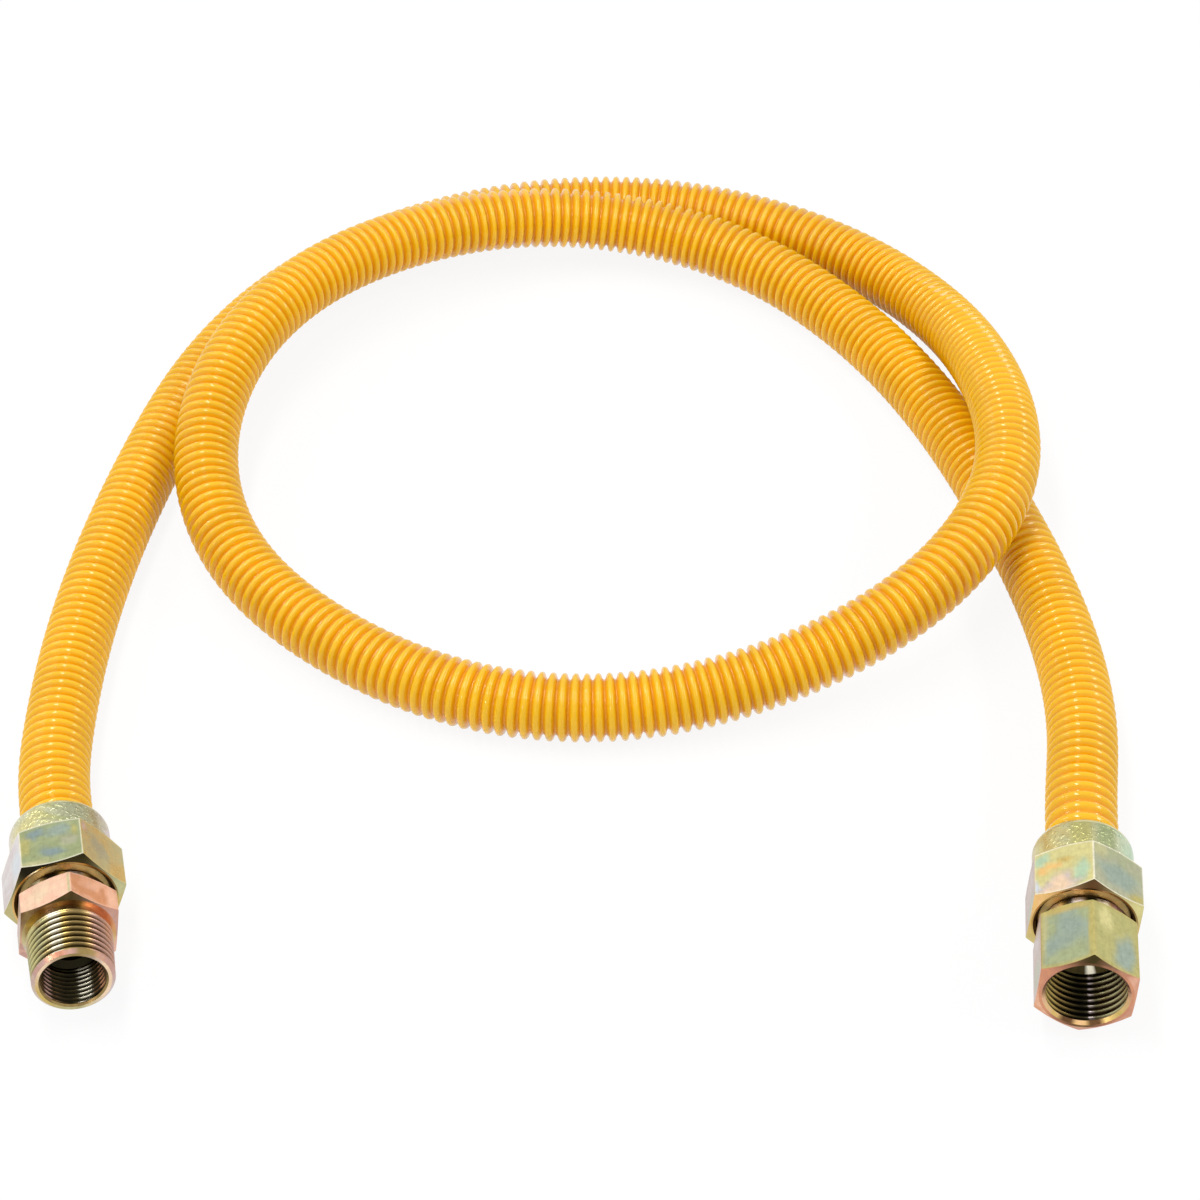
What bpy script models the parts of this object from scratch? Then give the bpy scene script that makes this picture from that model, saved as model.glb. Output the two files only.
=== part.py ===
"""Yellow coated corrugated steel gas hose, lying in one loose loop, with a flare fitting on each end.

Metres, +Z up. The origin is on the floor, under the middle of the whole hose.
"""
import math

import bpy
import numpy as np
from mathutils import Matrix, Vector

# Clearance between pieces that touch on the real hose
GAP = 0.0003

# Hose
HOSE_OUTER = 0.0187
COATING_WALL = 0.0006
STEEL_WALL = 0.0006
COATING_IN_NUT = 0.005

# Flare on the steel tube, 45 degrees, and how far the adapter's flare thread stands out past it
FLARE_START = 0.0102
FLARE_LIP = 0.0026
FLARE_TO_THREAD = 0.00055

# Flare nut, the same at both ends
NUT_WALL = 0.0016
NUT_HEX_LENGTH = 0.0153
NUT_COLLAR_WALL = 0.0031
NUT_COLLAR_LENGTH = 0.0107
NUT_COLLAR_ROUND = 0.003
NUT_HEX_CHAMFER = 0.0007
NUT_MOUTH_CHAMFER = 0.0008

# Angle at which every hexagon's corners are cut back from its end faces, in degrees
HEX_CHAMFER_ANGLE = 24.0

# Adapter sizes shared by both ends
FLAT_OVER_THREAD = 0.0003
ADAPTER_HEX_CHAMFER = 0.0008
NECK_LENGTH = 0.0032
NECK_GROOVE_DEPTH = 0.0014
NECK_RING_PROUD = 0.0012
NECK_RING_LENGTH = 0.0023
GAS_WAY = 0.0116
NOSE_RIM = 0.0004

# Male adapter: outside pipe thread, and a smaller inside one in its mouth
MALE_HEX_LENGTH = 0.0089
MALE_THREAD_LENGTH = 0.0166
MALE_THREAD_OUTER = 0.0213
MALE_THREAD_RUNOUT = 0.0022
MALE_TIP_CHAMFER = 0.0009
MALE_END_RING = 0.00083
MALE_BORE_DEPTH = 0.0125
MALE_BORE_CHAMFER = 0.0005
PIPE_TAPER = 1 / 16

# Female adapter: inside pipe thread
FEMALE_HEX_LENGTH = 0.02
FEMALE_BORE = 0.0199
FEMALE_WALL = 0.00195
FEMALE_BORE_DEPTH = 0.0155
FEMALE_BORE_CHAMFER = 0.0008

# How the fittings lie: turned from straight at the viewer (+ is towards +X), mouth raised, and
# each hexagon's corner to the right of the top, all in degrees
MALE_TURN = 11.7
MALE_RISE = 4.7
MALE_NUT_ROLL = 23.3
MALE_ADAPTER_ROLL = 9.3
FEMALE_TURN = -5.5
FEMALE_RISE = 1.3
FEMALE_NUT_ROLL = 2.9
FEMALE_ADAPTER_ROLL = 2.1

# Route of the hose's centre line from nut to nut, in millimetres: x, y, and how high the
# underside of the hose is above the floor
ROUTE_MM = [
    (-130.5, -116.7, 4.0),
    (-134.1, -99.1, 2.5),
    (-136.1, -73.3, 0.8),
    (-135.6, -43.0, 0.0),
    (-131.3, -3.2, 0.0),
    (-123.9, 35.2, 0.0),
    (-113.0, 74.1, 0.0),
    (-93.7, 111.6, 0.0),
    (-65.0, 140.6, 0.0),
    (-25.8, 160.2, 0.0),
    (14.6, 165.5, 0.0),
    (59.7, 154.4, 0.0),
    (84.4, 138.7, 0.3),
    (101.9, 119.3, 2.0),
    (114.9, 93.6, 6.4),
    (122.7, 60.4, 13.8),
    (125.0, 31.7, 18.5),
    (123.0, 9.9, 19.8),
    (110.4, -20.5, 18.2),
    (88.3, -43.0, 13.0),
    (56.8, -57.9, 5.4),
    (18.7, -66.3, 0.6),
    (-23.3, -63.1, 0.0),
    (-66.5, -39.9, 0.8),
    (-96.4, -5.3, 3.7),
    (-105.9, 26.9, 8.5),
    (-102.2, 62.0, 13.8),
    (-83.4, 100.2, 15.3),
    (-51.4, 130.0, 12.8),
    (-6.2, 146.9, 8.4),
    (36.7, 141.8, 3.8),
    (58.6, 130.0, 1.8),
    (78.1, 111.4, 0.5),
    (105.6, 66.2, 0.0),
    (122.9, 17.6, 0.0),
    (132.8, -24.0, 0.6),
    (136.3, -66.1, 3.3),
    (135.1, -86.0, 4.8),
    (132.5, -105.1, 5.6),
    (130.5, -124.4, 6.0),
]

# Fineness of the faceted solids
ROUTE_POINTS = 66
TUBE_BEVEL = 4
TUBE_SIDES = 2 * TUBE_BEVEL + 4
TURNED_STEPS = 36
ROUND_STEPS = 4
SAMPLES_PER_SPAN = 24

# Sizes that follow
HOSE_RADIUS = HOSE_OUTER / 2
STEEL_RADIUS = HOSE_RADIUS - COATING_WALL - GAP
FLARE_RADIUS = STEEL_RADIUS + FLARE_LIP
FLARE_END = FLARE_START + FLARE_LIP
FLARE_THREAD_RADIUS = FLARE_RADIUS + FLARE_TO_THREAD
NECK_GROOVE_RADIUS = FLARE_THREAD_RADIUS - NECK_GROOVE_DEPTH
NECK_RING_RADIUS = NECK_GROOVE_RADIUS + NECK_RING_PROUD
NUT_LENGTH = NUT_HEX_LENGTH + NUT_COLLAR_LENGTH
NUT_REAR_BORE_RADIUS = HOSE_RADIUS + GAP
NUT_COLLAR_RADIUS = NUT_REAR_BORE_RADIUS + NUT_COLLAR_WALL
NUT_BORE_RADIUS = FLARE_THREAD_RADIUS + GAP
NUT_ACROSS_FLATS = 2 * (NUT_BORE_RADIUS + NUT_WALL)
ADAPTER_HEX_START = NUT_LENGTH + NECK_LENGTH
MALE_HEX_END = ADAPTER_HEX_START + MALE_HEX_LENGTH
MALE_MOUTH = MALE_HEX_END + MALE_THREAD_LENGTH
FEMALE_MOUTH = ADAPTER_HEX_START + FEMALE_HEX_LENGTH
ADAPTER_ACROSS_FLATS = 2 * max(
    FLARE_THREAD_RADIUS + FLAT_OVER_THREAD,
    MALE_THREAD_OUTER / 2 + FLAT_OVER_THREAD,
    FEMALE_BORE / 2 + FEMALE_WALL,
)
SLANT = math.sqrt(2)


def clear_scene():
    for thing in list(bpy.data.objects):
        bpy.data.objects.remove(thing, do_unlink=True)


def make_collection(name):
    collection = bpy.data.collections.new(name)
    bpy.context.scene.collection.children.link(collection)
    return collection


def make_material(name, color, roughness, metallic):
    material = bpy.data.materials.new(name)
    material.use_nodes = True
    shader = material.node_tree.nodes["Principled BSDF"]
    shader.inputs["Base Color"].default_value = (*color, 1.0)
    shader.inputs["Roughness"].default_value = roughness
    shader.inputs["Metallic"].default_value = metallic
    return material


def axis_direction(turn, rise):
    """Unit vector out of a fitting's mouth."""
    turn = math.radians(turn)
    rise = math.radians(rise)
    level = math.cos(rise)
    return Vector((math.sin(turn) * level, -math.cos(turn) * level, math.sin(rise)))


# Route of the hose

def route_points():
    """The route's own points in metres, at the height of the hose's centre."""
    return np.array([(x / 1000, y / 1000, HOSE_RADIUS + lift / 1000) for x, y, lift in ROUTE_MM])


def spline_slopes(points, knots, first, last):
    """Slope at each point of the cubic spline that has the given directions at its ends."""
    count = len(points)
    matrix = np.eye(count)
    right = np.zeros((count, 3))
    right[0] = first
    right[-1] = last
    for i in range(1, count - 1):
        before = knots[i] - knots[i - 1]
        after = knots[i + 1] - knots[i]
        matrix[i, i - 1] = after
        matrix[i, i] = 2 * (before + after)
        matrix[i, i + 1] = before
        rise_before = (points[i] - points[i - 1]) * after / before
        rise_after = (points[i + 1] - points[i]) * before / after
        right[i] = 3 * (rise_before + rise_after)
    return np.linalg.solve(matrix, right)


def smooth_curve(points, first, last):
    """Many points on one smooth curve through all the given ones."""
    spans = np.linalg.norm(np.diff(points, axis=0), axis=1)
    knots = np.concatenate(([0.0], np.cumsum(spans)))
    slopes = spline_slopes(points, knots, first, last)
    curve = []
    for i, span in enumerate(spans):
        for step in range(SAMPLES_PER_SPAN):
            t = step / SAMPLES_PER_SPAN
            start_weight = 2 * t**3 - 3 * t**2 + 1
            end_weight = 3 * t**2 - 2 * t**3
            leave_weight = (t**3 - 2 * t**2 + t) * span
            arrive_weight = (t**3 - t**2) * span
            curve.append(
                start_weight * points[i] + end_weight * points[i + 1]
                + leave_weight * slopes[i] + arrive_weight * slopes[i + 1]
            )
    curve.append(points[-1])
    return np.array(curve)


def evenly_spaced(curve, count):
    """The same curve, read at equal steps along its length."""
    steps = np.linalg.norm(np.diff(curve, axis=0), axis=1)
    along = np.concatenate(([0.0], np.cumsum(steps)))
    wanted = np.linspace(0.0, along[-1], count)
    return np.array([np.interp(wanted, along, curve[:, axis]) for axis in range(3)]).T


def hose_line():
    """Centre line from the rear of one nut to the rear of the other."""
    points = route_points()
    out_of_male = np.array(-axis_direction(MALE_TURN, MALE_RISE))
    into_female = np.array(axis_direction(FEMALE_TURN, FEMALE_RISE))
    curve = smooth_curve(points, out_of_male, into_female)
    return evenly_spaced(curve, ROUTE_POINTS)


def tube(name, line, radii, wall, material, collection):
    """Hollow tube along a line, with its own outside radius at each point."""
    curve = bpy.data.curves.new(name, "CURVE")
    curve.dimensions = "3D"
    curve.bevel_depth = 1.0
    curve.bevel_resolution = TUBE_BEVEL
    spline = curve.splines.new("POLY")
    spline.points.add(len(line) - 1)
    for point, place, radius in zip(spline.points, line, radii):
        point.co = (*place, 1.0)
        point.radius = radius
    guide = bpy.data.objects.new(name + "_guide", curve)
    collection.objects.link(guide)
    mesh = bpy.data.meshes.new_from_object(guide.evaluated_get(bpy.context.evaluated_depsgraph_get()))
    bpy.data.objects.remove(guide, do_unlink=True)
    thing = bpy.data.objects.new(name, mesh)
    collection.objects.link(thing)
    shell = thing.modifiers.new("wall", "SOLIDIFY")
    shell.thickness = wall
    shell.offset = -1.0
    shell.use_even_offset = True
    mesh.shade_smooth()
    mesh.materials.clear()
    mesh.materials.append(material)
    return thing


def build_coating(line, male_way, female_way, material, collection):
    ends = [line[0] + male_way * COATING_IN_NUT, *line, line[-1] + female_way * COATING_IN_NUT]
    radii = [HOSE_RADIUS] * len(ends)
    return tube("coating", ends, radii, COATING_WALL, material, collection)


def build_steel_tube(line, male_way, female_way, material, collection):
    before = [line[0] + male_way * FLARE_END, line[0] + male_way * FLARE_START]
    after = [line[-1] + female_way * FLARE_START, line[-1] + female_way * FLARE_END]
    radii = [FLARE_RADIUS, STEEL_RADIUS] + [STEEL_RADIUS] * len(line) + [STEEL_RADIUS, FLARE_RADIUS]
    return tube("steel_tube", [*before, *line, *after], radii, STEEL_WALL, material, collection)


# Turned fittings, made along +Z from the rear of the nut

def turned(name, outline, material, collection):
    """Solid of revolution from a closed outline of (radius, height) points.

    The outline runs down its outer side and back up its bore.
    """
    mesh = bpy.data.meshes.new(name)
    count = len(outline)
    edges = [(i, (i + 1) % count) for i in range(count)]
    mesh.from_pydata([(radius, 0.0, height) for radius, height in outline], edges, [])
    thing = bpy.data.objects.new(name, mesh)
    collection.objects.link(thing)
    screw = thing.modifiers.new("turn", "SCREW")
    screw.angle = 2 * math.pi
    screw.steps = TURNED_STEPS
    screw.render_steps = TURNED_STEPS
    screw.use_merge_vertices = True
    screw.merge_threshold = 0.00001
    mesh.materials.append(material)
    return thing


def cut_to_hexagon(thing, across_flats, length, cutters):
    """Keep only what is inside a hexagonal bar, with a corner at the local +Y."""
    bpy.ops.mesh.primitive_cylinder_add(
        vertices=6, radius=across_flats / math.sqrt(3), depth=2 * length, location=(0, 0, length / 2)
    )
    bar = bpy.context.active_object
    bar.name = thing.name + "_bar"
    for collection in list(bar.users_collection):
        collection.objects.unlink(bar)
    cutters.objects.link(bar)
    bar.hide_render = True
    bar.display_type = "WIRE"
    cut = thing.modifiers.new("hexagon", "BOOLEAN")
    cut.operation = "INTERSECT"
    cut.solver = "EXACT"
    cut.object = bar
    return bar


def rounded_edge(radius, height, size):
    """Quarter circle from the outer side round to an end that faces -Z."""
    arc = []
    for step in range(ROUND_STEPS + 1):
        angle = math.pi / 2 * step / ROUND_STEPS
        across = radius - size + size * math.cos(angle)
        arc.append((across, height + size - size * math.sin(angle)))
    return arc


def hexagon_side(across_flats, top, bottom, chamfer, inner_top, inner_bottom):
    """Outer side of a hexagon's blank, with its corners cut back at both ends."""
    corner = across_flats / math.sqrt(3) + GAP
    inner_radius = across_flats / 2 - chamfer / 2
    slope = (corner - inner_radius) * math.tan(math.radians(HEX_CHAMFER_ANGLE))
    return [
        (inner_top, top),
        (inner_radius, top),
        (corner, top - slope),
        (corner, bottom + slope),
        (inner_radius, bottom),
        (inner_bottom, bottom),
    ]


def nut_outline():
    collar = NUT_COLLAR_RADIUS
    mouth = NUT_BORE_RADIUS + NUT_MOUTH_CHAMFER
    outer = hexagon_side(
        NUT_ACROSS_FLATS, NUT_LENGTH, NUT_COLLAR_LENGTH, NUT_HEX_CHAMFER, mouth, collar
    )
    rear = rounded_edge(collar, 0.0, NUT_COLLAR_ROUND)
    seat_start = FLARE_START + NUT_REAR_BORE_RADIUS - STEEL_RADIUS - GAP * SLANT
    seat_end = seat_start + NUT_BORE_RADIUS - NUT_REAR_BORE_RADIUS
    bore = [
        (NUT_REAR_BORE_RADIUS, 0.0),
        (NUT_REAR_BORE_RADIUS, seat_start),
        (NUT_BORE_RADIUS, seat_end),
        (NUT_BORE_RADIUS, NUT_LENGTH - NUT_MOUTH_CHAMFER),
    ]
    return outer + rear + bore


def stub_outline():
    """From the hexagon's rear face down to the cone that the flare is pulled onto."""
    thread = FLARE_THREAD_RADIUS
    groove = NECK_GROOVE_RADIUS
    ring = NECK_RING_RADIUS
    flat_factor = math.cos(math.pi / TUBE_SIDES)
    flare_inside = (FLARE_RADIUS - STEEL_WALL * SLANT) * flat_factor
    nose = flare_inside - GAP * SLANT
    tip = GAS_WAY / 2 + NOSE_RIM
    tip_height = FLARE_END - (nose - tip) / flat_factor
    shoulder = FLARE_END + 2 * GAP
    return [
        (ring, ADAPTER_HEX_START),
        (ring, ADAPTER_HEX_START - NECK_RING_LENGTH),
        (groove, ADAPTER_HEX_START - NECK_RING_LENGTH),
        (groove, NUT_LENGTH),
        (thread, NUT_LENGTH + groove - thread),
        (thread, shoulder + thread - nose),
        (nose, shoulder),
        (nose, FLARE_END),
        (tip, tip_height),
        (GAS_WAY / 2, tip_height),
    ]


def male_outline():
    ring = NECK_RING_RADIUS
    thread = MALE_THREAD_OUTER / 2
    groove = thread - MALE_TIP_CHAMFER
    tapered_length = MALE_THREAD_LENGTH - MALE_THREAD_RUNOUT
    tip = thread - tapered_length * PIPE_TAPER / 2
    bore = tip - MALE_TIP_CHAMFER - MALE_END_RING - MALE_BORE_CHAMFER
    bottom = MALE_MOUTH - MALE_BORE_DEPTH
    point = [
        (tip - MALE_TIP_CHAMFER, MALE_MOUTH),
        (tip, MALE_MOUTH - MALE_TIP_CHAMFER),
        (thread, MALE_HEX_END + MALE_THREAD_RUNOUT),
        (groove, MALE_HEX_END + MALE_THREAD_RUNOUT / 2),
    ]
    body = hexagon_side(
        ADAPTER_ACROSS_FLATS, MALE_HEX_END, ADAPTER_HEX_START, ADAPTER_HEX_CHAMFER, groove, ring
    )
    inside = [
        (GAS_WAY / 2, bottom - (bore - GAS_WAY / 2) / 2),
        (bore - MALE_BORE_DEPTH * PIPE_TAPER / 2, bottom),
        (bore, MALE_MOUTH - MALE_BORE_CHAMFER),
        (bore + MALE_BORE_CHAMFER, MALE_MOUTH),
    ]
    return point + body[:-1] + stub_outline() + inside


def female_outline():
    ring = NECK_RING_RADIUS
    bore = FEMALE_BORE / 2
    mouth = bore + FEMALE_BORE_CHAMFER
    bottom = FEMALE_MOUTH - FEMALE_BORE_DEPTH
    body = hexagon_side(
        ADAPTER_ACROSS_FLATS, FEMALE_MOUTH, ADAPTER_HEX_START, ADAPTER_HEX_CHAMFER, mouth, ring
    )
    inside = [
        (GAS_WAY / 2, bottom - (bore - GAS_WAY / 2) / 2),
        (bore - FEMALE_BORE_DEPTH * PIPE_TAPER / 2, bottom),
        (bore, FEMALE_MOUTH - FEMALE_BORE_CHAMFER),
    ]
    return body[:-1] + stub_outline() + inside


def fitting_frame(name, place, way, collection):
    """Empty at the rear of a nut, with +Z out of the fitting's mouth and +Y as near up as it can be."""
    up = (Vector((0, 0, 1)) - way * way.z).normalized()
    side = up.cross(way)
    frame = bpy.data.objects.new(name, None)
    collection.objects.link(frame)
    turn = Matrix((side, up, way)).transposed().to_4x4()
    frame.matrix_world = Matrix.Translation(Vector(place)) @ turn
    return frame


def build_fitting_piece(name, outline, across_flats, length, roll, frame, material, parts, cutters):
    piece = turned(name, outline, material, parts)
    bar = cut_to_hexagon(piece, across_flats, length, cutters)
    for thing in (piece, bar):
        thing.parent = frame
        thing.rotation_euler = (0, 0, -math.radians(roll))
    piece.data.shade_smooth()
    return piece


def build_male_end(place, way, materials, parts, cutters):
    frame = fitting_frame("male_end", place, way, parts)
    build_fitting_piece(
        "male_flare_nut", nut_outline(), NUT_ACROSS_FLATS, NUT_LENGTH, MALE_NUT_ROLL,
        frame, materials["nut"], parts, cutters,
    )
    build_fitting_piece(
        "male_adapter", male_outline(), ADAPTER_ACROSS_FLATS, MALE_MOUTH, MALE_ADAPTER_ROLL,
        frame, materials["male_adapter"], parts, cutters,
    )


def build_female_end(place, way, materials, parts, cutters):
    frame = fitting_frame("female_end", place, way, parts)
    build_fitting_piece(
        "female_flare_nut", nut_outline(), NUT_ACROSS_FLATS, NUT_LENGTH, FEMALE_NUT_ROLL,
        frame, materials["nut"], parts, cutters,
    )
    build_fitting_piece(
        "female_adapter", female_outline(), ADAPTER_ACROSS_FLATS, FEMALE_MOUTH, FEMALE_ADAPTER_ROLL,
        frame, materials["female_adapter"], parts, cutters,
    )


def main():
    clear_scene()
    parts = make_collection("corrugated_gas_hose")
    cutters = make_collection("cutters")
    materials = {
        "coating": make_material("coating", (0.90, 0.42, 0.02), 0.3, 0.0),
        "steel": make_material("steel", (0.62, 0.61, 0.59), 0.3, 1.0),
        "nut": make_material("nut_plating", (0.62, 0.64, 0.45), 0.35, 1.0),
        "male_adapter": make_material("male_adapter_plating", (0.66, 0.45, 0.30), 0.3, 1.0),
        "female_adapter": make_material("female_adapter_plating", (0.60, 0.58, 0.36), 0.3, 1.0),
    }
    line = hose_line()
    male_way = axis_direction(MALE_TURN, MALE_RISE)
    female_way = axis_direction(FEMALE_TURN, FEMALE_RISE)
    build_coating(line, np.array(male_way), np.array(female_way), materials["coating"], parts)
    build_steel_tube(line, np.array(male_way), np.array(female_way), materials["steel"], parts)
    build_male_end(line[0], male_way, materials, parts, cutters)
    build_female_end(line[-1], female_way, materials, parts, cutters)
    bpy.context.view_layer.update()


main()
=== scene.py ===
"""Looks of a yellow coated corrugated gas hose with a plated flare fitting on each end.

Metres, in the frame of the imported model: +Z up, with the origin on the floor under the middle of the hose.
"""

import math

import bpy
import numpy as np
from mathutils import Matrix, Vector


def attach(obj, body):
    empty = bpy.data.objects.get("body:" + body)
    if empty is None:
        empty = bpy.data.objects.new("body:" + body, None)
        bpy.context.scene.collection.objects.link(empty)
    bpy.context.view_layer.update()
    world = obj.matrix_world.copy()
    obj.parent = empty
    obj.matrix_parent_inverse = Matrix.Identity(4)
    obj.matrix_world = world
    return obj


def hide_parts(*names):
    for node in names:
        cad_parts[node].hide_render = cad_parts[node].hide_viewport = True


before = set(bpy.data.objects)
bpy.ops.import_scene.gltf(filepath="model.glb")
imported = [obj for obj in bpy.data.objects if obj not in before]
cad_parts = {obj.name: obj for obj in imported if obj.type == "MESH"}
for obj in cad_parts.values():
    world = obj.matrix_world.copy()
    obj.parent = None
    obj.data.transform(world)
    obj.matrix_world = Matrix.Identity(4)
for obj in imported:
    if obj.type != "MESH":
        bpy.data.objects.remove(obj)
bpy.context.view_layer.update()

# Camera of the photograph
CAMERA_PLACE = (0.0081, -0.6588, 0.5911)
CAMERA_PITCH = 47.5
CAMERA_LENS = 92.55
CAMERA_SENSOR = 36.0
CAMERA_NEAR = 0.01

# Hose, as in the model
HOSE_OUTER = 0.0187
COATING_IN_NUT = 0.005
STEEL_BELOW_COATING = 0.0009
FLARE_START = 0.0102
FLARE_END = 0.0128
FLARE_RADIUS = 0.01105

# Rings of the hose: pitch, depth, and the wider, shallower ones that lead into the female nut
RING_PITCH = 0.0032
RING_DEPTH = 0.0019
WIDE_RINGS_LENGTH = 0.022
WIDE_RING_PITCH = 1.4
WIDE_RING_DEPTH = 0.75
RING_UNEVENNESS = 0.012
RING_SEED = 7
HOSE_SIDES = 28
STEEL_SIDES = 20

# Where one ring's outline is read along its pitch, and how far it is down from the crest there
COATING_OUTLINE = [
    (0.0, 1.0), (0.13, 0.80), (0.24, 0.28), (0.37, 0.05),
    (0.5, 0.0), (0.63, 0.05), (0.76, 0.28), (0.87, 0.80),
]
STEEL_OUTLINE = [(0.0, 1.0), (0.25, 0.35), (0.5, 0.0), (0.75, 0.35)]

# How the fittings lie, in degrees
MALE_TURN = 11.7
MALE_RISE = 4.7
MALE_NUT_ROLL = 23.3
MALE_ADAPTER_ROLL = 9.3
FEMALE_TURN = -5.5
FEMALE_RISE = 1.3
FEMALE_NUT_ROLL = 2.9
FEMALE_ADAPTER_ROLL = 2.1

# The hose's route from nut to nut: x, y, and how high the underside of the hose is above the floor
ROUTE = [
    (-0.1305, -0.1167, 0.0040),
    (-0.1341, -0.0991, 0.0025),
    (-0.1361, -0.0733, 0.0008),
    (-0.1356, -0.0430, 0.0),
    (-0.1313, -0.0032, 0.0),
    (-0.1239, 0.0352, 0.0),
    (-0.1130, 0.0741, 0.0),
    (-0.0937, 0.1116, 0.0),
    (-0.0650, 0.1406, 0.0),
    (-0.0258, 0.1602, 0.0),
    (0.0146, 0.1655, 0.0),
    (0.0597, 0.1544, 0.0),
    (0.0844, 0.1387, 0.0003),
    (0.1019, 0.1193, 0.0020),
    (0.1149, 0.0936, 0.0064),
    (0.1227, 0.0604, 0.0138),
    (0.1250, 0.0317, 0.0185),
    (0.1230, 0.0099, 0.0198),
    (0.1104, -0.0205, 0.0182),
    (0.0883, -0.0430, 0.0130),
    (0.0568, -0.0579, 0.0054),
    (0.0187, -0.0663, 0.0006),
    (-0.0233, -0.0631, 0.0),
    (-0.0665, -0.0399, 0.0008),
    (-0.0964, -0.0053, 0.0037),
    (-0.1059, 0.0269, 0.0085),
    (-0.1022, 0.0620, 0.0138),
    (-0.0834, 0.1002, 0.0153),
    (-0.0514, 0.1300, 0.0128),
    (-0.0062, 0.1469, 0.0084),
    (0.0367, 0.1418, 0.0038),
    (0.0586, 0.1300, 0.0018),
    (0.0781, 0.1114, 0.0005),
    (0.1056, 0.0662, 0.0),
    (0.1229, 0.0176, 0.0),
    (0.1328, -0.0240, 0.0006),
    (0.1363, -0.0661, 0.0033),
    (0.1351, -0.0860, 0.0048),
    (0.1325, -0.1051, 0.0056),
    (0.1305, -0.1244, 0.0060),
]
SAMPLES_PER_SPAN = 24

# Fittings, measured along the axis from the rear of the nut, as in the model
NUT_LENGTH = 0.026
NUT_ACROSS_FLATS = 0.027
NUT_COLLAR_LENGTH = 0.0107
NUT_COLLAR_RADIUS = 0.01275
NUT_COLLAR_ROUND = 0.003
NUT_REAR_BORE_RADIUS = 0.00965
NUT_BORE_RADIUS = 0.0119
NUT_SEAT_START = 0.0112
NUT_HEX_CHAMFER = 0.0007
NUT_MOUTH_CHAMFER = 0.0008
ADAPTER_ACROSS_FLATS = 0.0238
ADAPTER_HEX_START = 0.0292
ADAPTER_HEX_CHAMFER = 0.0008
HEX_CHAMFER_ANGLE = 24.0
FLARE_THREAD_RADIUS = 0.0116
NECK_GROOVE_RADIUS = 0.0102
NECK_GROOVE_IN_NUT = 0.0006
NECK_GROOVE_SLOPE = 0.0008
NECK_RING_RADIUS = 0.0114
NECK_RING_LENGTH = 0.0023
NECK_RING_CHAMFER = 0.0004
NOSE_RADIUS = 0.0095
NOSE_LENGTH = 0.0006
NOSE_LIP = 0.0004
GAS_WAY_RADIUS = 0.0058
MALE_HEX_LENGTH = 0.0089
MALE_THREAD_LENGTH = 0.0166
MALE_THREAD_RADIUS = 0.01065
MALE_THREAD_RUNOUT = 0.0022
MALE_RUNOUT_DEPTH = 0.0009
MALE_TIP_CHAMFER = 0.0009
MALE_BORE_RADIUS = 0.00797
MALE_BORE_DEPTH = 0.0125
MALE_BORE_CHAMFER = 0.0005
FEMALE_HEX_LENGTH = 0.02
FEMALE_BORE_RADIUS = 0.00995
FEMALE_BORE_DEPTH = 0.0155
FEMALE_BORE_CHAMFER = 0.0008
PIPE_TAPER = 1 / 16

# Threads: pitch and depth
PIPE_THREAD = (0.001814, 0.00115)
SMALL_PIPE_THREAD = (0.001411, 0.0007)
FLARE_THREAD = (0.0015875, 0.0007)
RINGS_PER_TURN = 14
HIDDEN_RINGS_PER_TURN = 8

# How many turns a thread's groove takes to reach its full depth at its first and its last ring
WHOLE_TURNS = (1.0, 1.0)
NUT_THREAD_FADES = (1.0, 0.5)
SOCKET_THREAD_FADES = (1.0, 0.4)
MALE_THREAD_FADES = (0.25, 0.8)

# A thread's outline, as shares of its pitch: its flat crest, and its two flanks together
THREAD_CREST = 0.14
THREAD_FLANKS = 0.7

# How soon a thread's colour turns to the painted shade of its root, going down from the crest
THREAD_ROOT_SHADE_SHARE = 1.8

# Where one more ring lies on a nut's collar, as a share of its length
NUT_COLLAR_MIDDLE = 0.6

# Degrees that a hexagon's flat takes up around the axis, and half of that, from its middle to a corner
FLAT = 60.0
HALF_FLAT = 30.0

# Each hexagon corner is rounded over this many degrees to each side
CORNER_ROUND = 1.0

# Fineness of the turned pieces
CORNER_STEPS = 3
FLAT_STEPS = 20
FLAT_ROWS = 16
ROUND_STEPS = 8

# Width of the painted highlight along a flat's edges, in the third colour of its looks
EDGE_HIGHLIGHT_BAND = 0.0004
WIDE_EDGE_HIGHLIGHT_BAND = 0.0013

# Colours of yellow passivated zinc, whose thin film changes colour with its thickness. The same names also
# serve as painted light: brown, olive, black and, in places, bronze are painted shade and painted dark
# reflections, and cream and silver serve mostly as painted highlights.
PLATING_AND_PAINTED_LIGHT = {
    "silver": (0.74, 0.69, 0.68),
    "cream": (0.90, 0.84, 0.66),
    "ice": (0.66, 0.70, 0.73),
    "pearl": (0.66, 0.68, 0.50),
    "mint": (0.48, 0.63, 0.43),
    "straw": (0.68, 0.62, 0.28),
    "moss": (0.46, 0.43, 0.17),
    "green": (0.39, 0.43, 0.24),
    "sea": (0.32, 0.39, 0.32),
    "blue": (0.25, 0.32, 0.31),
    "sage": (0.43, 0.43, 0.29),
    "fern": (0.33, 0.37, 0.19),
    "brass": (0.49, 0.42, 0.15),
    "khaki": (0.52, 0.50, 0.27),
    "gold": (0.62, 0.45, 0.14),
    "amber": (0.60, 0.36, 0.12),
    "apricot": (0.86, 0.54, 0.20),
    "peach": (0.86, 0.64, 0.44),
    "salmon": (0.92, 0.56, 0.40),
    "rose": (0.70, 0.33, 0.17),
    "copper": (0.60, 0.27, 0.17),
    "mauve": (0.60, 0.50, 0.48),
    "dusk": (0.50, 0.38, 0.32),
    "pink": (0.56, 0.33, 0.27),
    "bronze": (0.30, 0.21, 0.08),
    "brown": (0.14, 0.07, 0.03),
    "olive": (0.06, 0.045, 0.015),
    "black": (0.018, 0.015, 0.008),
}
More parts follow.
